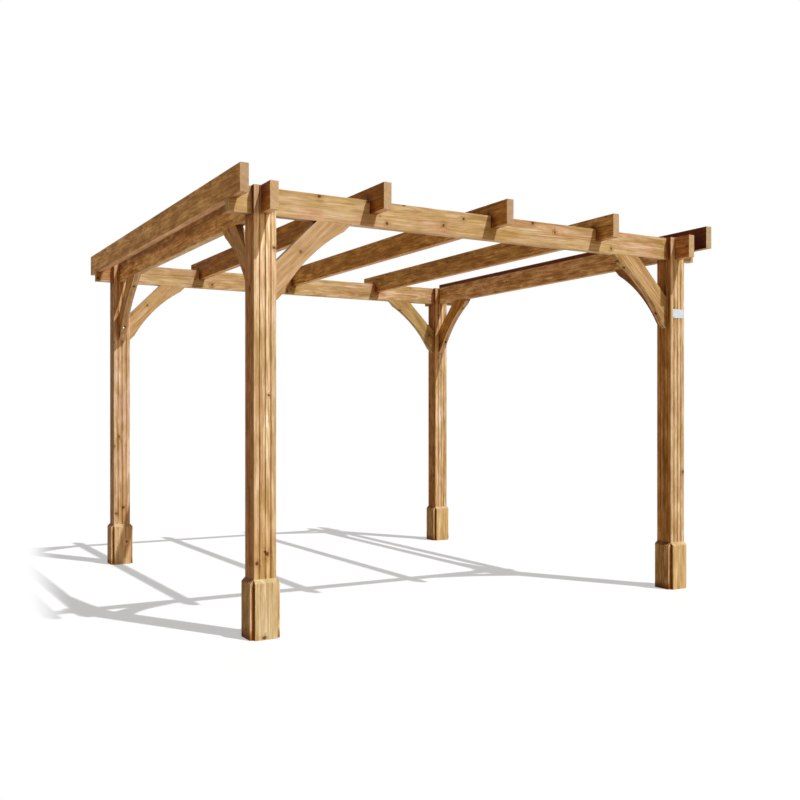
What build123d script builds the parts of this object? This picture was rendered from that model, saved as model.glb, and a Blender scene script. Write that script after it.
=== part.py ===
from build123d import *
import os

# Free-standing timber pergola, in millimetres.
# X runs along the front, Y from front to back, Z up.
# The origin is on the ground, midway between the four posts.

# Posts
post_size = 120.0          # side of the square section
post_spacing_x = 2840.0    # between post centres, along the front
post_spacing_y = 2840.0    # between post centres, front to back
post_height = 2260.0       # ground to the top of the horns, level with the beams
groove_count = 3           # V grooves down each face
groove_width = 9.0         # across the mouth of a 90 degree V

# Beams, two along X and two along Y, all at one height
beam_thickness = 45.0
beam_depth = 140.0
beam_overhang = 120.0      # past the outer faces of the posts

# Rafters, front to back over the front and back beams
rafter_count = 5
rafter_thickness = 45.0
rafter_depth = 140.0
rafter_overhang = 120.0    # past the outer faces of the posts
rafter_notch = 72.0        # how deep a rafter sits in the notches cut for it in the beams
rafter_inset = 3.0         # from the beams' ends to the outer rafters' outer faces

# Knee braces, mitred at 45 degrees between a post and a beam
brace_leg = 440.0          # from the inner corner to either tip
brace_width = 140.0
brace_thickness = 45.0
brace_land = 60.0          # straight stretch of the lower edge at each tip
brace_hollow = 34.0        # how far the lower edge is hollowed between the lands

# Screw holes through each brace, one into the post and one into the beam
screw_inset = 94.0         # from a tip of the brace to the screw next to it
screw_radius = 4.0
counterbore_radius = 10.0
counterbore_seat = 42.0    # wood left under the screw's head

# Plinth boards, one on each face of a post's foot
plinth_height = 300.0      # ground to the top of the bevel, at the post's face
plinth_thickness = 20.0
plinth_bevel = 20.0        # height of the bevel along the top

# Shared finish and fit
arris_radius = 2.0         # rounding along the edges of every planed timber
fit_clearance = 0.5        # play of a board in a slot or a notch

# Derived places
half_x = post_spacing_x / 2
half_y = post_spacing_y / 2
half_post = post_size / 2
beam_length_x = post_spacing_x + post_size + 2 * beam_overhang
beam_length_y = post_spacing_y + post_size + 2 * beam_overhang
beam_bottom = post_height - beam_depth
halving_level = post_height - beam_depth / 2
beam_slot = beam_thickness + fit_clearance
rafter_slot = rafter_thickness + fit_clearance
rafter_length = post_spacing_y + post_size + 2 * rafter_overhang
rafter_bottom = post_height - rafter_notch
rafter_pitch = (beam_length_x - 2 * rafter_inset - rafter_thickness) / (rafter_count - 1)
groove_pitch = post_size / (groove_count + 1)

corners = {
    "front_left": (-1, -1),
    "front_right": (1, -1),
    "back_left": (-1, 1),
    "back_right": (1, 1),
}

os.makedirs("parts", exist_ok=True)


def save(piece, name):
    """Label a finished piece and write it to its own file."""
    piece.part.label = name
    export_step(piece.part, f"parts/{name}.step")


def make_post(name, x, y):
    """A grooved post whose head is slotted both ways for the crossing beams."""
    with BuildPart() as post:
        with BuildSketch(Plane((x, y, 0))) as section:
            RectangleRounded(post_size, post_size, arris_radius)
            with PolarLocations(half_post, 4):
                with GridLocations(0, groove_pitch, 1, groove_count):
                    v_side = groove_width / 2**0.5
                    Rectangle(v_side, v_side, rotation=45, mode=Mode.SUBTRACT)
        extrude(amount=post_height)
        with BuildSketch(Plane((x, y, post_height))) as head_slots:
            Rectangle(post_size, beam_slot)
            Rectangle(beam_slot, post_size)
        extrude(amount=-beam_depth, mode=Mode.SUBTRACT)
    save(post, name)


def make_plinth_board(name, x, y, outward):
    """A board on the face of the post at (x, y) that looks along outward."""
    face = Vector(x, y, 0) + outward * half_post
    across = outward.cross(Vector(0, 0, 1))
    with BuildPart() as board:
        with BuildSketch(Plane(face, x_dir=outward, z_dir=across)):
            with BuildLine():
                Polyline(
                    (0, 0),
                    (plinth_thickness, 0),
                    (plinth_thickness, plinth_height - plinth_bevel),
                    (0, plinth_height),
                    close=True,
                )
            make_face()
        extrude(amount=half_post, both=True)
        outer_face = board.faces().filter_by(Axis(face, outward)).sort_by(Axis(face, outward))[-1]
        fillet(outer_face.edges().filter_by(Axis.Z), radius=arris_radius)
    save(board, name)


def make_beam(name, start, along, length, halving_bottom, carries_rafters=False):
    """A beam from start along an axis, halved where it crosses the beams at the posts.

    A beam that carries the rafters is notched from above for each, and the notches for the outer
    rafters run out through its ends.
    """
    with BuildPart() as beam:
        with BuildSketch(Plane(start, x_dir=along.cross(Vector(0, 0, 1)), z_dir=along)):
            RectangleRounded(beam_thickness, beam_depth, arris_radius)
        extrude(amount=length)
        inset = beam_overhang + half_post
        crossings = [start + along * inset, start + along * (length - inset)]
        with BuildSketch(*[Plane((p.X, p.Y, halving_bottom), x_dir=along) for p in crossings]):
            Rectangle(beam_slot, beam_thickness)
        extrude(amount=beam_depth / 2, mode=Mode.SUBTRACT)
        if carries_rafters:
            with BuildSketch(Plane((0, start.Y, rafter_bottom), x_dir=along)):
                with GridLocations(rafter_pitch, 0, rafter_count, 1):
                    Rectangle(rafter_slot, beam_thickness)
                with GridLocations(length, 0, 2, 1):
                    Rectangle(2 * rafter_inset, beam_thickness)
            extrude(amount=rafter_notch, mode=Mode.SUBTRACT)
    save(beam, name)


def make_rafter(name, x):
    """A plain rafter that sits in the notches of the front and back beams."""
    with BuildPart() as rafter:
        middle = rafter_bottom + rafter_depth / 2
        front_end = Plane((x, -rafter_length / 2, middle), x_dir=(-1, 0, 0), z_dir=(0, 1, 0))
        with BuildSketch(front_end):
            RectangleRounded(rafter_thickness, rafter_depth, arris_radius)
        extrude(amount=rafter_length)
    save(rafter, name)


def make_brace(name, corner, along):
    """A knee brace from a post up to the beam that runs along a direction.

    corner is where the post's face meets the underside of the beam.
    """
    up = Vector(0, 0, 1)
    side = Plane(corner, x_dir=along, z_dir=along.cross(up))
    back_leg = brace_leg - brace_width * 2**0.5
    land = brace_land / 2**0.5
    post_land = (land, land - brace_leg)
    beam_land = (brace_leg - land, -land)
    with BuildPart() as brace:
        with BuildSketch(side):
            with BuildLine():
                Line((back_leg, 0), (0, -back_leg))
                Line((0, -back_leg), (0, -brace_leg))
                Line((0, -brace_leg), post_land)
                SagittaArc(post_land, beam_land, brace_hollow)
                Line(beam_land, (brace_leg, 0))
                Line((brace_leg, 0), (back_leg, 0))
            make_face()
        extrude(amount=brace_thickness / 2, both=True)
        screw_reach = brace_leg - screw_inset
        into_post = Plane(side.from_local_coords((screw_inset, -screw_reach, 0)), z_dir=along)
        into_beam = Plane(side.from_local_coords((screw_reach, -screw_inset, 0)), z_dir=-up)
        with Locations(into_post, into_beam):
            CounterBoreHole(screw_radius, counterbore_radius, screw_inset - counterbore_seat, depth=screw_inset)
    save(brace, name)


for corner_name, (sx, sy) in corners.items():
    x = sx * half_x
    y = sy * half_y
    make_post(f"post_{corner_name}", x, y)
    make_plinth_board(f"plinth_{corner_name}_front", x, y, Vector(0, -1, 0))
    make_plinth_board(f"plinth_{corner_name}_back", x, y, Vector(0, 1, 0))
    make_plinth_board(f"plinth_{corner_name}_left", x, y, Vector(-1, 0, 0))
    make_plinth_board(f"plinth_{corner_name}_right", x, y, Vector(1, 0, 0))
    make_brace(f"brace_{corner_name}_x", Vector(x - sx * half_post, y, beam_bottom), Vector(-sx, 0, 0))
    make_brace(f"brace_{corner_name}_y", Vector(x, y - sy * half_post, beam_bottom), Vector(0, -sy, 0))

for side_name, sy in (("front", -1), ("back", 1)):
    beam_start = Vector(-beam_length_x / 2, sy * half_y, halving_level)
    make_beam(f"beam_{side_name}", beam_start, Vector(1, 0, 0), beam_length_x, beam_bottom, carries_rafters=True)

for side_name, sx in (("left", -1), ("right", 1)):
    beam_start = Vector(sx * half_x, -beam_length_y / 2, halving_level)
    make_beam(f"beam_{side_name}", beam_start, Vector(0, 1, 0), beam_length_y, halving_level)

for number in range(rafter_count):
    make_rafter(f"rafter_{number + 1}", (number - (rafter_count - 1) / 2) * rafter_pitch)
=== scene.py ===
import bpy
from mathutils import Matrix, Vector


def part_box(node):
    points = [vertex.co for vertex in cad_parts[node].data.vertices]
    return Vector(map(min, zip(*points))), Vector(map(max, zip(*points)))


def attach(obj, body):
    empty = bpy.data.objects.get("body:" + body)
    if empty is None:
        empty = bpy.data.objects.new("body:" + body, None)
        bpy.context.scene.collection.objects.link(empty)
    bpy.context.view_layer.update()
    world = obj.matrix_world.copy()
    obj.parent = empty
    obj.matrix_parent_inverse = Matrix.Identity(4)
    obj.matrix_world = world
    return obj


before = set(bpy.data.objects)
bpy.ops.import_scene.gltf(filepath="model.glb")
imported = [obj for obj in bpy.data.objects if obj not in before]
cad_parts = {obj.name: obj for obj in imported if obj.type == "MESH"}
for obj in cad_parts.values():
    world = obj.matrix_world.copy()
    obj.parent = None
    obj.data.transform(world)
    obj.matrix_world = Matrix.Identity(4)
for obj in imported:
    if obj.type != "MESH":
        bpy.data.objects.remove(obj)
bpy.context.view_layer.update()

import math
import random

import bmesh
import bpy
from mathutils import Matrix, Vector

# The looks of a free-standing timber pergola, in metres and in the CAD's frame.
# X runs along the front, Y from front to back, Z up.
# Node helpers come first, then the timber, the metal pieces, the lamps, the floor and the camera.

scene = bpy.context.scene
scene.view_settings.view_transform = "Standard"

X, Y, Z = Vector((1, 0, 0)), Vector((0, 1, 0)), Vector((0, 0, 1))


# ---------------------------------------------------------------- node helpers

class Graph:
    """A node tree, with short calls for the nodes that the materials use."""

    def __init__(self, owner):
        owner.use_nodes = True
        self.tree = owner.node_tree
        self.tree.nodes.clear()

    def node(self, kind, inputs=None, **settings):
        made = self.tree.nodes.new(kind)
        for key, value in settings.items():
            setattr(made, key, value)
        for key, value in (inputs or {}).items():
            if isinstance(value, bpy.types.NodeSocket):
                self.tree.links.new(value, made.inputs[key])
            else:
                made.inputs[key].default_value = value
        return made

    def math(self, operation, *values):
        return self.node("ShaderNodeMath", dict(enumerate(values)), operation=operation).outputs[0]

    def times(self, first, *others):
        """The product of two or more values."""
        for other in others:
            first = self.math("MULTIPLY", first, other)
        return first

    def vector(self, operation, *values):
        made = self.node("ShaderNodeVectorMath", dict(enumerate(values)), operation=operation)
        return made.outputs["Value" if operation == "LENGTH" else "Vector"]

    def split(self, vector):
        return self.node("ShaderNodeSeparateXYZ", {0: vector}).outputs

    def join(self, x, y, z=0.0):
        return self.node("ShaderNodeCombineXYZ", {0: x, 1: y, 2: z}).outputs[0]

    def surface_place(self):
        """Where a point of the surface is and where it faces, in the object's own axes."""
        outputs = self.node("ShaderNodeTexCoord").outputs
        return outputs["Object"], outputs["Normal"]

    def noise(self, vector, scale=1.0, detail=2.0, roughness=0.5, colour=False):
        inputs = {"Vector": vector, "Scale": scale, "Detail": detail, "Roughness": roughness}
        return self.node("ShaderNodeTexNoise", inputs).outputs["Color" if colour else "Fac"]

    def span(self, value, low, high, to_low=0.0, to_high=1.0):
        """value taken smoothly from low..high to to_low..to_high, and held outside that span."""
        inputs = {0: value, 1: low, 2: high, 3: to_low, 4: to_high}
        return self.node("ShaderNodeMapRange", inputs, interpolation_type="SMOOTHSTEP").outputs[0]

    def fade(self, value, full, none):
        """1 where value is under full, falling smoothly to 0 at none."""
        return self.span(value, full, none, 1.0, 0.0)

    def ramp(self, value, stops):
        """A level by value, straight from one (place, level) to the next."""
        made = self.node("ShaderNodeValToRGB", {0: value})
        elements = made.color_ramp.elements
        while len(elements) < len(stops):
            elements.new(0.5)
        for element, (place, level) in zip(elements, stops):
            element.position = place
            element.color = (level, level, level, 1.0)
        return made.outputs[0]

    def mix(self, factor, first, second, blend="MIX"):
        inputs = {0: factor, 6: first, 7: second}
        return self.node("ShaderNodeMix", inputs, data_type="RGBA", blend_type=blend).outputs[2]

    def tinted(self, colour, tone, factor=1.0):
        """colour multiplied by tone, as far as factor says."""
        whole = self.mix(1.0, colour, tone, "MULTIPLY")
        return whole if factor == 1.0 else self.mix(factor, colour, whole)

    def grey(self, value):
        return self.node("ShaderNodeCombineColor", {0: value, 1: value, 2: value}).outputs[0]

    def warm(self, value):
        """A level as wood shows it, redder where it is darker."""
        levels = [self.math("POWER", value, power) for power in (0.72, 1.0, 1.6)]
        return self.node("ShaderNodeCombineColor", dict(enumerate(levels))).outputs[0]

    def bump(self, height, strength, distance):
        inputs = {"Strength": strength, "Distance": distance, "Height": height}
        return self.node("ShaderNodeBump", inputs).outputs[0]

    def mix_shaders(self, factor, first, second):
        return self.node("ShaderNodeMixShader", {0: factor, 1: first, 2: second}).outputs[0]

    def surface(self, inputs):
        """Ends the tree in a Principled shader."""
        shader = self.node("ShaderNodeBsdfPrincipled", inputs)
        self.node("ShaderNodeOutputMaterial", {"Surface": shader.outputs[0]})


def linear(red, green, blue):
    """A colour as the screen shows it, 0 to 255, as the linear colour that a shader wants."""
    parts = [value / 255 for value in (red, green, blue)]
    return tuple(p / 12.92 if p <= 0.04045 else ((p + 0.055) / 1.055) ** 2.4 for p in parts) + (1.0,)


# ---------------------------------------------------------------- timber: colours

# Each table has an entry for a timber's own name, for its kind, or for timber in general.

def kind_of(name):
    return name.split("_")[0]


def pick(table, name):
    """The entry for this timber, or else for its kind, or else for timber in general."""
    return next(table[key] for key in (name, kind_of(name), "timber") if key in table)


# Colours of the planed faces, and of the cut ends, as the screen shows them
wood_colours = {
    "post_front_left": (215, 195, 160),
    "post_front_right": (200, 180, 145),
    "post_back_left": (210, 185, 155),
    "post_back_right": (210, 190, 155),
    "plinth": (205, 180, 135),
    "plinth_front_left_front": (205, 190, 150),
    "plinth_back_left_front": (215, 190, 155),
    "brace": (185, 155, 115),
    "brace_front_left_x": (190, 160, 120),
    "brace_front_right_x": (185, 155, 110),
    "brace_back_left_x": (190, 160, 115),
    "brace_back_right_x": (180, 155, 105),
    "beam": (195, 170, 125),
    "beam_front": (195, 170, 130),
    "beam_back": (195, 170, 130),
    "rafter": (200, 170, 125),
}
end_colours = {
    "post": (205, 175, 140),
    "plinth": (205, 185, 145),
    "beam": (205, 180, 140),
    "rafter": (200, 175, 140),
    "rafter_1": (190, 165, 130),
    "rafter_3": (190, 165, 135),
    "rafter_5": (190, 175, 140),
}

# Colours of the sides turned to -X, which are never in the sun, where those differ. These are painted light
# and shade: each sets how that shaded side looks, some paler and some darker than the planed faces,
# rafter_5's a dark painted shade.
painted_side_colours = {
    "post_front_left": (205, 160, 110),
    "post_front_right": (215, 175, 120),
    "post_back_left": (195, 165, 125),
    "post_back_right": (210, 165, 110),
    "brace_front_left_y": (205, 170, 115),
    "brace_front_right_y": (160, 120, 80),
    "brace_back_left_y": (200, 155, 85),
    "brace_back_right_y": (200, 155, 85),
    "beam_left": (240, 205, 145),
    "beam_right": (235, 200, 155),
    "rafter_1": (230, 190, 120),
    "rafter_2": (185, 130, 45),
    "rafter_3": (210, 165, 90),
    "rafter_4": (215, 175, 110),
    "rafter_5": (135, 68, 0),
}
knot_rim = linear(84, 40, 10)
knot_heart = linear(100, 52, 16)

# Tints, which multiply a colour. The first two are the pale and the dark wood of a year's ring.
early_wood = (1.13, 1.145, 1.17, 1.0)
late_wood = (0.78, 0.68, 0.5, 1.0)
pinkish = {"timber": (1.02, 0.98, 1.01, 1.0), "beam": (1.06, 0.965, 1.06, 1.0)}
olive = {"timber": (0.99, 0.985, 0.89, 1.0), "beam": (0.99, 0.975, 0.82, 1.0)}
# Painted light: the undersides paler, as if lit from below
painted_underside_light = {"timber": (1.5, 1.9, 2.9, 1.0), "brace": (1.6, 2.05, 3.2, 1.0), "rafter": (1.5, 1.7, 2.5, 1.0)}
# Painted shade: the tops darker, to hold back the sun on them
painted_top_shade = (0.8, 0.78, 0.74, 1.0)
# Painted shade: a post's faces turned from the front darker and redder
painted_off_front_shade = (0.98, 0.85, 0.7, 1.0)
shaft_foot = {"post": (1.02, 0.99, 0.94, 1.0), "post_front_left": (0.9, 0.82, 0.7, 1.0)}
shaft_top = (1.17, 1.17, 1.2, 1.0)
end_late_wood = (0.8, 0.72, 0.6, 1.0)
end_pinkish = (1.02, 0.98, 1.0, 1.0)
round_knot = (0.68, 0.56, 0.42, 1.0)
worn = (1.12, 1.15, 1.18, 1.0)
# Dust in a post's grooves, and painted shade there
dust_and_groove_shade = (0.68, 0.59, 0.46, 1.0)
# Painted shade in a post's slotted head: on its faces not turned to the front, and on the front of
# post_front_left only
painted_head_shade = (0.55, 0.38, 0.28, 1.0)
painted_front_head_shade = {"post": (1.0, 1.0, 1.0, 1.0), "post_front_left": (0.72, 0.67, 0.62, 1.0)}
# Painted shade on the shaded side of a side beam's tails
painted_tail_shade = (0.66, 0.46, 0.32, 1.0)
# Painted shade in the joints, where other timbers shade the wood
painted_joint_shade = {
    "timber": (0.42, 0.27, 0.15, 1.0),
    "plinth": (0.42, 0.2, 0.05, 1.0),
    "beam": (0.3, 0.14, 0.03, 1.0),
    "rafter": (0.36, 0.2, 0.08, 1.0),
}
# Painted light and shade on front faces near joints: paler on most, darker on the back posts and the back
# beam
painted_front_light_and_shade = {
    "timber": (1.2, 1.18, 1.2, 1.0),
    "post_front_left": (1.07, 1.02, 0.98, 1.0),
    "post_front_right": (1.03, 0.97, 0.9, 1.0),
    "post_back_left": (0.9, 0.75, 0.6, 1.0),
    "post_back_right": (0.9, 0.75, 0.6, 1.0),
    "beam_back": (0.9, 0.52, 0.25, 1.0),
}
# Painted light on the front edges of plinth boards that face another way, and painted shade on their bevels
# turned from the sun
painted_edge_light = (1.5, 1.65, 2.0, 1.0)
painted_bevel_shade = (0.75, 0.55, 0.55, 1.0)


# ---------------------------------------------------------------- timber: grain and marks

# Noise that follows the grain: its scale across and along the grain, its detail, and its roughness if not 0.5
pith_noise = (3.0, 1.3, 2.0)
knot_edge_noise = (75.0, 60.0, 3.0, 0.6)
ring_wave_noise = (14.0, 1.0, 2.0)
hue_noise = (14.0, 5.0, 3.0, 0.6)
fibre_noise = (320.0, 9.0, 2.0, 0.6)

# Marks made from such noise, each with the span of the noise that is taken to the last two levels
marks = {
    "ring_depth": ((9.0, 1.2), (0.35, 0.65, 0.45, 1.0)),
    "patches": ((18.0, 6.0, 4.0, 0.65), (0.32, 0.68, 0.8, 1.16)),
    "flecks": ((70.0, 8.0, 3.0, 0.6), (0.34, 0.66, 0.82, 1.15)),
    "blots": ((26.0, 8.0, 4.0, 0.65), (0.34, 0.66, 0.78, 1.2)),
    "streaks": ((75.0, 6.0, 4.0, 0.65), (0.36, 0.64, 0.75, 1.22)),
    "wear": ((60.0, 14.0), (0.35, 0.65, 0.0, 0.6)),
}

# How far off in the noise a timber may start, how that place turns from one use to the next, and how far
# along the cells of the knots and the bands a timber may start
noise_reach = 40
noise_turn = Matrix.Rotation(1.1, 3, "X")
cell_reach = 60

# Here and below, a span is (from, to), or (from, to, level, level), and a fade is (full, none).
# These are the hues, the fibres, and the evening out of the sunlit fronts.
pink_span, olive_fade = (0.48, 0.64), (0.36, 0.52)
hue_shown_in_shade = 0.3
fibre_span, fibre_roughness = (0.25, 0.75, 0.88, 1.12), (0.2, 0.8, 0.62, 0.78)
evening_power = -0.2

# How strongly the colour of the shaded sides varies about its mean
contrasts = {"post": 0.5, "plinth": 0.8, "brace": 1.0, "beam": 1.05, "rafter": 1.05}

# Rings: their width, how far the pith wanders and leans, by how many rings they waver, and how dark each part
# of a year's ring is
narrow_ring, wide_ring = 0.0035, 0.0055
pith_wander, pith_lean = 0.03, 0.02
ring_wave = 1.2
ring_profile = ((0.0, 0.0), (0.4, 0.12), (0.8, 1.0), (0.94, 0.7), (1.0, 0.0))

# Bands of rings: the scale of their noise out from the pith, round it and along it, and the noise's levels
bands_out, bands_round, bands_along = 120.0, 1.2, 1.1
band_detail, band_roughness = 5.0, 0.72
band_span = (0.33, 0.67, 0.66, 1.24)

# Knots: how many cells that may hold one lie in a radian round the pith and in a metre along it, and their
# radii. A cell's lot runs from 0 to 1, and only the highest lots give a knot.
knots_around, knots_along = 1.9, 4.2
knot_size_by_lot, knot_size_held_back = 0.055, 0.046
smallest_knot, largest_knot = 0.0001, 0.009

# How far out, in its own radii, a knot's rim, heart and halo fade, how strong they are, how much its edge
# wavers, and how far it pushes the rings
rim_fade, heart_fade, halo_fade = (0.55, 1.2), (0.1, 0.75), (0.8, 4.0)
rim_strength, heart_strength, halo_strength = 0.85, 0.7, 0.6
edge_waver, edge_least = 1.6, 0.2
knot_push = 1.6

# The clearest knots, by their place along X and their height. Each runs through its timber along Y.
left_post_knots = ((-1.41, 0.425), (-1.463, 0.38))
clear_knots = {
    "post_front_left": left_post_knots,
    "post_back_left": left_post_knots,
    "brace_front_left_x": ((-1.212, 1.954),),
    "brace_back_left_x": ((-1.216, 1.959),),
    "beam_front": ((-0.703, 2.148), (-1.105, 2.248), (0.28, 2.248)),
    "beam_back": ((-0.703, 2.15), (-0.06, 2.145), (-1.588, 2.143)),
}
clear_knot_size = 0.0105

# Which way a place faces, by a part of its normal
side_fade, under_fade, top_span = (-0.8, -0.3), (-0.7, -0.1), (0.4, 0.7)
bevel_span, bevel_shade_fade = (0.3, 0.6), (-0.6, -0.3)

# Where marks begin and end, in metres: how far the cut ends and the worn arrises reach, how deep the dust and
# painted shade in the grooves lie, how far a post's slotted head and a side beam's tail run from their ends,
# and which part of a post's shaft counts as its foot and as its top, from its middle
end_skin = (0.0006, 0.0014)
arris_width = 0.004
dust_and_shade_from, dust_and_shade_to = (0.0015, 0.004), (0.005, 0.008)
head_length = (0.16, 0.13)
tail_length = (0.09, 0.12)
foot_part, top_part = (-0.9, 0.0), (0.2, 0.9)

# Cut ends: the scale of their cracks round the pith and out from it, how a crack and the other marks shade
# them, and how strongly the rings show
cracks_round, cracks_out = 3.5, 9.0
crack_span, end_shade_span = (0.002, 0.01, 0.7, 1.0), (0.5, 1.5, 0.82, 1.16)
end_ring_strength = 0.6

# Relief and gloss of the rings and knots
ring_relief, knot_relief, ring_gloss = 0.5, 0.6, 0.1
relief_strength, relief_height = 0.5, 0.0006
wood_specular = 0.2

# Painted shade in the joints: how far off another timber shades the wood, and the openness at which that
# shade is full and none
joint_shade_samples = 8
joint_shade_reach = {"timber": 0.15, "plinth": 0.06, "post": 0.3}
joint_shade_levels = {
    "timber": (0.55, 0.98),
    "beam": (0.45, 0.85),
    "rafter": (0.7, 0.92),
    "plinth": (0.65, 0.98),
}


class Timber:
    """A softwood material for one timber: first where each place lies in the wood, then what it looks like.

    low and high are the corners of its CAD box, across the direction through its thickness and along the
    direction of its grain. pith is the place of the tree's centre in its section.
    """

    def __init__(self, name, low, high, across, along, pith):
        self.name = name
        self.kind = kind_of(name)
        # Of the plinth boards that aren't on the front, the front shows an edge at most
        self.edge_on = self.kind == "plinth" and not name.endswith("_front")
        self.draw = random.Random(name)
        self.ring_width = self.draw.uniform(narrow_ring, wide_ring)
        self.noise_shift = Vector([self.draw.uniform(-noise_reach, noise_reach) for _ in range(3)])
        self.material = bpy.data.materials.new("timber_" + name)
        self.graph = Graph(self.material)
        self.find_place(low, high, across, along)
        self.find_facing()
        self.find_pith(pith)
        self.grow_knots()
        self.grow_rings()

    def paint(self):
        """Colours the timber, from its mean colour to the marks of age and the painted light and shade, and
        returns the material.
        """
        base, tint = self.base_colour(), self.variation()
        if self.kind != "brace":
            base, tint = self.cut_ends(base, tint)
        colour = self.mark_knots(self.graph.tinted(base, tint))
        colour = self.wear_arrises(colour, base)
        if self.kind == "post":
            colour = self.darken_grooves_and_head(colour)
        if self.name in ("beam_left", "beam_right"):
            colour = self.shade_tails(colour)
        colour = self.shade_joints(colour)
        if self.kind == "plinth":
            colour = self.paint_plinth_light_and_shade(colour)
        self.add_relief(colour)
        return self.material

    def find_place(self, low, high, across, along):
        """The timber's own coordinates: through its thickness, across its width, along its grain."""
        graph = self.graph
        axes = (across, along.cross(across).normalized(), along)
        turn = Matrix(axes).transposed().to_euler()
        self.part_place, self.normal = graph.surface_place()
        inputs = {"Vector": self.part_place, "Location": (low + high) / 2, "Rotation": turn}
        self.place = graph.node("ShaderNodeMapping", inputs, vector_type="TEXTURE").outputs[0]
        self.through, self.over, self.length = graph.split(self.place)
        self.half = [abs((high - low).dot(direction)) / 2 for direction in axes]
        self.insets = [
            graph.math("SUBTRACT", size, graph.math("ABSOLUTE", part))
            for size, part in zip(self.half, (self.through, self.over, self.length))
        ]

    def grain_noise(self, cross_scale, along_scale, detail=2.0, roughness=0.5, colour=False):
        """Noise drawn out along the grain. Each call takes it from another place."""
        stretch = (cross_scale, cross_scale, along_scale)
        moved = self.graph.vector("MULTIPLY_ADD", self.place, stretch, self.noise_shift)
        self.noise_shift.rotate(noise_turn)
        return self.graph.noise(moved, 1.0, detail, roughness, colour)

    def mark(self, what):
        """The level of one of the marks in the table."""
        noise, levels = marks[what]
        return self.graph.span(self.grain_noise(*noise), *levels)

    def find_facing(self):
        """Which way a place faces: each value is 1 where its name holds, and 0 elsewhere."""
        graph = self.graph
        self.facing = graph.split(self.normal)
        self.in_shade = graph.fade(self.facing[0], *side_fade)
        self.in_front = graph.fade(self.facing[1], *side_fade)
        self.off_front = graph.span(self.facing[1], *side_fade)
        self.underneath = graph.fade(self.facing[2], *under_fade)
        self.on_top = graph.span(self.facing[2], *top_span)

    def find_pith(self, pith):
        """The distance from the pith, which wanders a little along the timber, and the angle round it.

        The angle is measured from the direction in which the timber lies.
        """
        graph = self.graph
        wander = self.grain_noise(*pith_noise, colour=True)
        wander = graph.split(graph.vector("SUBTRACT", wander, (0.5, 0.5, 0.5)))
        lean = [self.draw.uniform(-pith_lean, pith_lean) for _ in range(2)]
        from_pith = []
        for part, offset, slope, wave in zip((self.through, self.over), pith, lean, wander):
            part = graph.math("SUBTRACT", part, offset)
            part = graph.math("MULTIPLY_ADD", self.length, slope, part)
            from_pith.append(graph.math("MULTIPLY_ADD", wave, pith_wander, part))
        self.radius = graph.vector("LENGTH", graph.join(*from_pith))

        toward = Vector((1, 1)) if self.kind == "post" else -Vector(pith)
        toward.normalize()
        first, second = from_pith
        ahead = graph.math("MULTIPLY_ADD", first, toward.x, graph.times(second, toward.y))
        aside = graph.math("MULTIPLY_ADD", second, toward.x, graph.times(first, -toward.y))
        self.angle = graph.math("ARCTAN2", aside, ahead)

    def grow_knots(self):
        """Knots, which are branches that run out from the pith, and the clearest ones in their places."""
        graph = self.graph
        along_cells = graph.math("MULTIPLY_ADD", self.length, knots_along, self.draw.uniform(0, cell_reach))
        branch = graph.join(graph.times(self.angle, knots_around), along_cells)
        inputs = {"Vector": branch, "Scale": 1.0, "Randomness": 1.0}
        cells = graph.node("ShaderNodeTexVoronoi", inputs, voronoi_dimensions="2D").outputs
        away = graph.split(graph.vector("SUBTRACT", branch, cells["Position"]))
        side_away = graph.times(graph.math("DIVIDE", away[0], knots_around), self.radius)
        long_away = graph.math("DIVIDE", away[1], knots_along)
        uneven_edge = graph.math("MULTIPLY_ADD", self.grain_noise(*knot_edge_noise), edge_waver, edge_least)
        lot = graph.split(cells["Color"])[0]
        size = graph.math("MULTIPLY_ADD", lot, knot_size_by_lot, -knot_size_held_back)
        self.knot_size = graph.math("MINIMUM", graph.math("MAXIMUM", size, smallest_knot), largest_knot)
        off_centre = graph.vector("LENGTH", graph.join(side_away, long_away))
        nearest = graph.times(graph.math("DIVIDE", off_centre, self.knot_size), uneven_edge)

        place = graph.split(self.part_place)
        for x, height in clear_knots.get(self.name, ()):
            off_x = graph.math("SUBTRACT", place[0], x)
            off_centre = graph.vector("LENGTH", graph.join(off_x, graph.math("SUBTRACT", place[2], height)))
            off_centre = graph.times(graph.math("DIVIDE", off_centre, clear_knot_size), uneven_edge)
            nearest = graph.math("MINIMUM", nearest, off_centre)
        self.knot = graph.fade(nearest, *rim_fade)
        self.knot_heart = graph.fade(nearest, *heart_fade)
        self.knot_halo = graph.fade(nearest, *halo_fade)

    def grow_rings(self):
        """Growth rings, pushed out round the knots, in bands darker or paler than their neighbours."""
        graph = self.graph
        round_knots = graph.times(self.knot_halo, self.knot_size)
        pushed = graph.math("MULTIPLY_ADD", round_knots, knot_push, self.radius)
        uneven = graph.times(self.grain_noise(*ring_wave_noise), ring_wave)
        turns = graph.math("ADD", graph.math("DIVIDE", pushed, self.ring_width), uneven)
        self.ring = graph.ramp(graph.math("FRACT", turns), ring_profile)
        self.ring_depth = self.mark("ring_depth")
        band_place = graph.join(
            graph.times(pushed, bands_out),
            graph.times(self.angle, bands_round),
            graph.math("MULTIPLY_ADD", self.length, bands_along, self.draw.uniform(0, cell_reach)),
        )
        bands = graph.noise(band_place, detail=band_detail, roughness=band_roughness)
        self.bands = graph.span(bands, *band_span)

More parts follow.
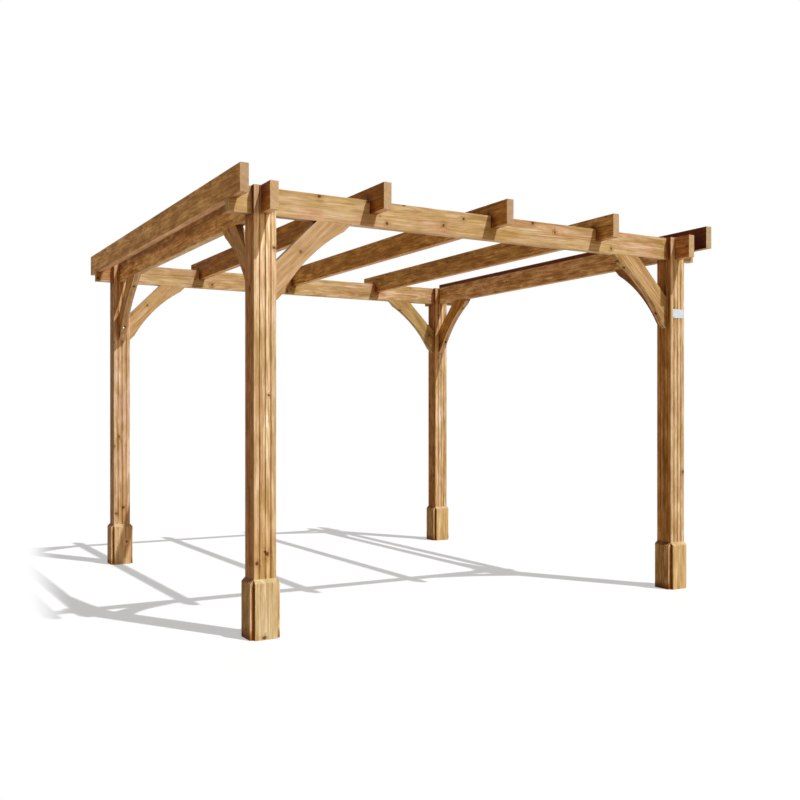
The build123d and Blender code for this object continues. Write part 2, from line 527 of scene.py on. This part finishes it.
    def variation(self):
        """The tint that varies the colour about its mean: rings, hue, patches, streaks, flecks, fibres."""
        graph = self.graph
        tint = graph.mix(graph.times(self.ring, self.ring_depth), early_wood, late_wood)
        hue = self.grain_noise(*hue_noise)
        shown = graph.span(self.in_shade, 0.0, 1.0, 1.0, hue_shown_in_shade)
        self.pink_part = graph.times(graph.span(hue, *pink_span), shown)
        olive_part = graph.times(graph.fade(hue, *olive_fade), shown)
        tint = graph.tinted(tint, pick(pinkish, self.name), self.pink_part)
        tint = graph.tinted(tint, pick(olive, self.name), olive_part)

        patches = self.mark("patches")
        flecks = self.mark("flecks")
        self.fibres = self.grain_noise(*fibre_noise)
        self.shade = graph.times(patches, self.bands, graph.span(self.fibres, *fibre_span), flecks)
        tint = graph.tinted(tint, graph.warm(self.shade))
        if self.name.endswith("_front"):
            tint = graph.tinted(tint, graph.grey(graph.math("POWER", self.shade, evening_power)))

        blots = self.mark("blots")
        blots = graph.times(blots, patches, self.mark("streaks"))
        blots = graph.math("POWER", blots, graph.times(self.in_shade, contrasts[self.kind]))
        return graph.tinted(tint, graph.warm(blots))

    def base_colour(self):
        """The mean colour, with painted light and shade: paler undersides, darker tops, a post's faces turned
        from the front darker, and the sides turned to -X in painted colours where those differ.
        """
        graph = self.graph
        base = linear(*pick(wood_colours, self.name))
        base = graph.tinted(base, pick(painted_underside_light, self.name), self.underneath)
        if self.kind == "post":
            base = graph.tinted(base, painted_off_front_shade, self.off_front)
            base = graph.tinted(base, pick(shaft_foot, self.name), graph.fade(self.length, *foot_part))
            base = graph.tinted(base, shaft_top, graph.span(self.length, *top_part))
        if self.name in painted_side_colours:
            base = graph.mix(self.in_shade, base, linear(*painted_side_colours[self.name]))
        return graph.tinted(base, painted_top_shade, self.on_top)

    def cut_ends(self, base, tint):
        """The cut ends, which show the rings end on and fine cracks that run out from the pith."""
        graph = self.graph
        end = graph.fade(self.insets[2], *end_skin)
        base = graph.mix(end, base, linear(*pick(end_colours, self.name)))
        spokes = graph.join(graph.times(self.angle, cracks_round), graph.times(self.radius, cracks_out))
        off_crack = graph.math("ABSOLUTE", graph.math("SUBTRACT", graph.noise(spokes), 0.5))
        cracks = graph.span(off_crack, *crack_span)
        end_shade = graph.times(graph.span(self.shade, *end_shade_span), cracks)
        end_tint = graph.mix(graph.times(self.ring, end_ring_strength), graph.warm(end_shade), end_late_wood)
        end_tint = graph.tinted(end_tint, end_pinkish, self.pink_part)
        return base, graph.mix(end, tint, end_tint)

    def mark_knots(self, colour):
        """Darker wood round a knot, then its rim and heart."""
        graph = self.graph
        colour = graph.tinted(colour, round_knot, graph.times(self.knot_halo, halo_strength))
        colour = graph.mix(graph.times(self.knot, rim_strength), colour, knot_rim)
        return graph.mix(graph.times(self.knot_heart, heart_strength), colour, knot_heart)

    def wear_arrises(self, colour, base):
        """Paler, worn arrises. A place is near an arris where two of its three insets are small.

        A brace's ends are cut on the slant, so only its long arrises count.
        """
        graph = self.graph
        first, second, third = self.insets
        from_arris = graph.math("MAXIMUM", first, second)
        if self.kind != "brace":
            from_end = graph.math("MAXIMUM", graph.math("MINIMUM", first, second), third)
            from_arris = graph.math("MINIMUM", from_arris, from_end)
        wear = graph.times(graph.fade(from_arris, 0.0, arris_width), self.mark("wear"))
        return graph.mix(wear, colour, graph.tinted(base, worn))

    def head_limits(self):
        """From where to where along a post its slotted head begins."""
        return [self.half[2] - length for length in head_length]

    def darken_grooves_and_head(self, colour):
        """Dust and painted shade in a post's grooves, and painted shade in its slotted head."""
        graph = self.graph
        outer = graph.math("MAXIMUM", graph.math("ABSOLUTE", self.through), graph.math("ABSOLUTE", self.over))
        depth = graph.math("SUBTRACT", self.half[0], outer)
        sunk = graph.times(graph.span(depth, *dust_and_shade_from), graph.fade(depth, *dust_and_shade_to))
        colour = graph.tinted(colour, dust_and_groove_shade, sunk)
        head = graph.span(self.length, *self.head_limits())
        return graph.tinted(colour, graph.mix(self.in_front, painted_head_shade, pick(painted_front_head_shade, self.name)), head)

    def shade_tails(self, colour):
        """Painted shade on the shaded side of a side beam's tails."""
        tail = self.graph.fade(self.insets[2], *tail_length)
        return self.graph.tinted(colour, painted_tail_shade, self.graph.times(tail, self.in_shade))

    def shade_joints(self, colour):
        """Painted shade in the joints, and on the front faces of posts and beams painted light or painted
        shade instead.

        Front faces don't get the joints' painted shade, apart from the edges of plinth boards that face
        another way.
        """
        graph = self.graph
        inputs = {"Distance": pick(joint_shade_reach, self.name)}
        openness = graph.node("ShaderNodeAmbientOcclusion", inputs, samples=joint_shade_samples).outputs["AO"]
        occluded = graph.fade(openness, *pick(joint_shade_levels, self.name))
        in_front_level = 1.0 if self.edge_on else 0.0
        darkened = graph.times(occluded, graph.span(self.in_front, 0.0, 1.0, 1.0, in_front_level))
        colour = graph.tinted(colour, pick(painted_joint_shade, self.name), darkened)
        if self.kind in ("post", "beam"):
            # painted light or shade on the front faces near joints
            front_near_joint = graph.times(occluded, self.in_front)
            if self.name == "post_front_left":
                front_near_joint = graph.times(front_near_joint, graph.fade(self.length, *self.head_limits()))
            colour = graph.tinted(colour, pick(painted_front_light_and_shade, self.name), front_near_joint)
        return colour

    def paint_plinth_light_and_shade(self, colour):
        """Painted light on the front edges of the boards that face another way, and painted shade on the
        bevels turned from the sun.
        """
        graph = self.graph
        if self.edge_on:
            colour = graph.tinted(colour, painted_edge_light, self.in_front)
        bevel = graph.span(self.facing[2], *bevel_span)
        in_shade = graph.fade(self.facing[0], *bevel_shade_fade)
        return graph.tinted(colour, painted_bevel_shade, graph.times(bevel, in_shade))

    def add_relief(self, colour):
        """Relief and gloss. The dark part of each ring stands out a little and shines a little more."""
        graph = self.graph
        height = graph.math("MULTIPLY_ADD", self.ring, ring_relief, self.fibres)
        height = graph.math("MULTIPLY_ADD", self.knot, knot_relief, height)
        roughness = graph.span(self.fibres, *fibre_roughness)
        graph.surface({
            "Base Color": colour,
            "Roughness": graph.math("MULTIPLY_ADD", self.ring, -ring_gloss, roughness),
            "Normal": graph.bump(height, relief_strength, relief_height),
            "Specular IOR Level": wood_specular,
        })


# ---------------------------------------------------------------- timber: the CAD's nodes

def grain_of(name, low):
    """The directions through a timber's thickness and along its grain."""
    kind = kind_of(name)
    if kind == "post":
        return X, Z
    if kind == "plinth":
        return (Y if name.endswith(("front", "back")) else X), Z
    if kind == "brace":
        inward, across = (X, Y) if name.endswith("_x") else (Y, X)
        rise = 1 if low.dot(inward) < 0 else -1
        return across, (inward * rise + Z).normalized()
    return (Y, X) if name in ("beam_front", "beam_back") else (X, Y)


# How far the pith may lie off the middle: of a post, and of a board, beside it and along its width
post_pith = 0.02
board_pith_near, board_pith_far, board_pith_over = 0.045, 0.09, 0.05


def pith_of(name):
    """The place of the pith in a timber's section: inside a post, beside a board."""
    draw = random.Random("place_" + name)
    side = draw.choice((-1, 1))
    beside = side * draw.uniform(board_pith_near, board_pith_far)
    pith = (beside, draw.uniform(-board_pith_over, board_pith_over))
    if kind_of(name) == "post":
        pith = (draw.uniform(-post_pith, post_pith), draw.uniform(-post_pith, post_pith))
    return pith


def dress(name, material):
    """Gives a CAD node its material, by way of its slots."""
    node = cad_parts[name]
    if not node.material_slots:
        node.data.materials.append(material)
    for material_slot in node.material_slots:
        material_slot.link = "OBJECT"
        material_slot.material = material


for name in sorted(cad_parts):
    low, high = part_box(name)
    across, along = grain_of(name, low)
    timber = Timber(name, low, high, across, along, pith_of(name))
    dress(name, timber.paint())


# ---------------------------------------------------------------- metal pieces

# How finely the marks on metal repeat along X, Y and Z, and what they do to its colour, gloss and relief
brushed_scale, plain_scale = (40.0, 900.0, 900.0), (300.0, 300.0, 300.0)
blotch_scale = 130.0
metal_noise = {"detail": 3.0, "roughness": 0.6}
scratch_span, blotch_span = (0.25, 0.75, 0.88, 1.08), (0.3, 0.7, 0.9, 1.06)
gloss_span, roughness_spread = (0.2, 0.8), 0.2
scratch_strength, scratch_depth = 0.3, 0.0001


def metal(name, tone, roughness, brushed=False):
    """Bare or zinc-plated metal: patchy, with fine marks that run along X where it is brushed."""
    material = bpy.data.materials.new(name)
    graph = Graph(material)
    place = graph.surface_place()[0]
    stretched = graph.vector("MULTIPLY", place, brushed_scale if brushed else plain_scale)
    scratches = graph.noise(stretched, **metal_noise)
    blotches = graph.noise(place, blotch_scale, **metal_noise)
    level = graph.times(graph.span(scratches, *scratch_span), graph.span(blotches, *blotch_span))
    graph.surface({
        "Base Color": graph.tinted(linear(*tone), graph.grey(level)),
        "Metallic": 1.0,
        "Roughness": graph.span(scratches, *gloss_span, roughness, roughness + roughness_spread),
        "Normal": graph.bump(scratches, scratch_strength, scratch_depth),
    })
    return material


def make_mesh(name, builder):
    mesh = bpy.data.meshes.new(name)
    builder.to_mesh(mesh)
    builder.free()
    return mesh


def add_to_scene(name, data):
    made = bpy.data.objects.new(name, data)
    scene.collection.objects.link(made)
    return made


def make_fixing(name, builder, material):
    """A new piece of metal that rides on the frame."""
    bmesh.ops.recalc_face_normals(builder, faces=builder.faces)
    piece = add_to_scene(name, make_mesh(name, builder))
    piece.data.materials.append(material)
    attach(piece, "root")


def skin(builder, loops):
    """A closed shell over loops of points, one above the other, with as many points each."""
    loops = [[builder.verts.new(point) for point in loop] for loop in loops]
    for lower, upper in zip(loops, loops[1:]):
        for step in range(len(lower)):
            after = (step + 1) % len(lower)
            builder.faces.new((lower[step], lower[after], upper[after], upper[step]))
    builder.faces.new(loops[0][::-1])
    builder.faces.new(loops[-1])


def ring_points(place, sides, radius, height, phase=0.0):
    """The corners of a regular polygon about the local Z of place."""
    turns = [2 * math.pi * step / sides + phase for step in range(sides)]
    return [place @ Vector((radius * math.cos(turn), radius * math.sin(turn), height)) for turn in turns]


# Coach screws with washers, one on the seat of each counterbore in the braces. How far in from the brace's
# tip a screw stands, and how much wood is left under its head, are part.py's. The profiles are
# (radius, height) above the seat.
screw_inset = 0.094
seat = 0.042
washer = ((0.0088, 0.0), (0.0092, 0.0003), (0.0092, 0.0021), (0.0088, 0.0024))
hexagon = ((0.0078, 0.0023), (0.0078, 0.0086), (0.0068, 0.0095))
washer_sides = 40
zinc = metal("zinc", (250, 240, 216), 0.12)
# Painted shade: darker zinc for the screws of the right braces
dull_zinc = metal("dull_zinc", (95, 70, 50), 0.4)


def make_screw(name, seat_centre, outward, phase):
    place = Matrix.Translation(seat_centre) @ outward.to_track_quat("Z", "Y").to_matrix().to_4x4()
    builder = bmesh.new()
    skin(builder, [ring_points(place, washer_sides, *level) for level in washer])
    skin(builder, [ring_points(place, 6, *level, phase) for level in hexagon])
    make_fixing(name, builder, dull_zinc if "right" in name else zinc)


def screw_brace(name):
    """The two screws of a brace: one into the post, one into the beam."""
    low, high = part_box(name)
    draw = random.Random("screws_" + name)
    along = X if name.endswith("_x") else Y
    at_post = low if abs(low.dot(along)) > abs(high.dot(along)) else high
    inward = along * (1 if at_post.dot(along) < 0 else -1)
    corner = (low + high) / 2
    corner += along * (at_post - corner).dot(along)
    corner.z = high.z
    reach = high.z - low.z - screw_inset
    suffix = name.removeprefix("brace_")
    make_screw("screw_post_" + suffix, corner + inward * seat - Z * reach, inward, draw.uniform(0, 1))
    make_screw("screw_beam_" + suffix, corner + inward * reach - Z * seat, -Z, draw.uniform(0, 1))


for name in sorted(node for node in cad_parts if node.startswith("brace_")):
    screw_brace(name)

# The bare plate on the front of the front right post: how far its centre lies right of the post's, how high,
# and its size along X and Z
plate_offset = 0.006
plate_height = 1.7705
plate_size = (0.092, 0.056)
plate_thickness = 0.002
plate_corner = 0.008
plate_bevel = 0.0005
corner_steps = 8


def plate_outline(out, shrink):
    """The plate's outline, with rounded corners, at a distance out from the post."""
    post_low, post_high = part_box("post_front_right")
    plate_centre = ((post_low.x + post_high.x) / 2 + plate_offset, plate_height)
    points = []
    for quarter, sides in enumerate(((1, 1), (-1, 1), (-1, -1), (1, -1))):
        arc_x, arc_z = (
            centre + side * (size / 2 - plate_corner)
            for centre, side, size in zip(plate_centre, sides, plate_size)
        )
        for step in range(corner_steps + 1):
            turn = math.pi / 2 * (quarter + step / corner_steps)
            radius = plate_corner - shrink
            x, z = arc_x + radius * math.cos(turn), arc_z + radius * math.sin(turn)
            points.append((x, post_low.y - out, z))
    return points


def make_plate():
    builder = bmesh.new()
    levels = ((0.0, 0.0), (plate_thickness - plate_bevel, 0.0), (plate_thickness, plate_bevel))
    skin(builder, [plate_outline(*level) for level in levels])
    make_fixing("plate", builder, metal("plate_metal", (196, 204, 212), 0.35, brushed=True))


make_plate()


# ---------------------------------------------------------------- lamps and world

white = (1.0, 1.0, 1.0, 1.0)
fill_light = (0.058, 0.03, 0.013, 1.0)


def add_lamp(name, toward, power, spread, tone=(1.0, 1.0, 1.0)):
    """A lamp as far away as the sun, in the direction toward. spread is its width in degrees."""
    data = bpy.data.lights.new(name, "SUN")
    data.energy = power
    data.color = tone
    data.angle = math.radians(spread)
    lamp = add_to_scene(name, data)
    lamp.rotation_euler = Vector(toward).to_track_quat("Z", "Y").to_euler()


# The sun, and two broad soft lamps that fill the front and the back
add_lamp("sun", toward=(0.2957, -0.519, 1.0), power=4.0, spread=0.6)
add_lamp("front", toward=(0.25, -0.97, 0.3), power=0.8, spread=50, tone=(1.0, 0.85, 0.65))
add_lamp("back", toward=(0.5, 1.0, 0.35), power=0.9, spread=50)


def seen_directly(graph):
    """1 for rays that show the background itself, to the camera or in gloss and glass."""
    path = graph.node("ShaderNodeLightPath").outputs
    seen = graph.math("MAXIMUM", path["Is Camera Ray"], path["Is Glossy Ray"])
    return graph.math("MAXIMUM", seen, path["Is Transmission Ray"])


def light_world():
    """A white backdrop that is only seen, and a faint warm light from all round."""
    scene.world = bpy.data.worlds.new("studio")
    graph = Graph(scene.world)
    fill = graph.node("ShaderNodeBackground", {"Color": fill_light, "Strength": 1.0}).outputs[0]
    backdrop = graph.node("ShaderNodeBackground", {"Color": white, "Strength": 1.0}).outputs[0]
    both = graph.mix_shaders(seen_directly(graph), fill, backdrop)
    graph.node("ShaderNodeOutputWorld", {"Surface": both})


light_world()


# ---------------------------------------------------------------- floor

# The floor shows as white in the sun and as a pale grey in the shadow. The light that it throws back up at
# the timber is that of warm paving.
floor_reach = 60.0
floor_cells = 8
floor_gap = 0.0002
floor_pale = (0.444, 0.444, 0.444, 1.0)
floor_glow = (0.955, 0.982, 1.0, 1.0)
glow_strength = 0.457
paving_colour = (0.37, 0.25, 0.145, 1.0)

# Towards the left edge of the picture the floor, and the shadow on it, fade to white between two lines on the
# floor: how far the lines move along X for each metre of Y, and where they cross the X axis
fade_slope = 0.147
fade_full, fade_none = -2.30, -2.04


def floor_material():
    """White or shadowed where it is seen, warm paving for the light that it throws back."""
    material = bpy.data.materials.new("floor")
    graph = Graph(material)
    pale = graph.node("ShaderNodeBsdfDiffuse", {"Color": floor_pale}).outputs[0]
    glow = graph.node("ShaderNodeEmission", {"Color": floor_glow, "Strength": glow_strength}).outputs[0]
    shown = graph.node("ShaderNodeAddShader", {0: pale, 1: glow}).outputs[0]
    spot = graph.split(graph.surface_place()[0])
    across = graph.math("MULTIPLY_ADD", spot[1], -fade_slope, spot[0])
    faded = graph.fade(across, fade_full, fade_none)
    plain_white = graph.node("ShaderNodeEmission", {"Color": white, "Strength": 1.0}).outputs[0]
    shown = graph.mix_shaders(faded, shown, plain_white)
    paving = graph.node("ShaderNodeBsdfDiffuse", {"Color": paving_colour}).outputs[0]
    both = graph.mix_shaders(seen_directly(graph), paving, shown)
    graph.node("ShaderNodeOutputMaterial", {"Surface": both})
    return material


def lay_floor():
    builder = bmesh.new()
    bmesh.ops.create_grid(builder, x_segments=floor_cells, y_segments=floor_cells, size=floor_reach)
    floor = add_to_scene("floor", make_mesh("floor", builder))
    floor.location.z = -floor_gap
    floor.data.materials.append(floor_material())


lay_floor()


# ---------------------------------------------------------------- camera

# The photo's camera stands level. Its place, its heading in radians to the right of +Y, and its lens were
# solved from the timbers' edges.
camera_place = (-3.24722, -5.99114, 1.10873)
camera_heading = 0.52328
camera_lens = 43.562
camera_shift = 0.02063


def set_camera():
    data = bpy.data.cameras.new("camera")
    data.sensor_width = 36.0
    data.lens = camera_lens
    data.shift_y = camera_shift
    data.clip_end = 300.0
    scene.camera = add_to_scene("camera", data)
    scene.camera.location = camera_place
    scene.camera.rotation_euler = (math.pi / 2, 0.0, -camera_heading)


set_camera()
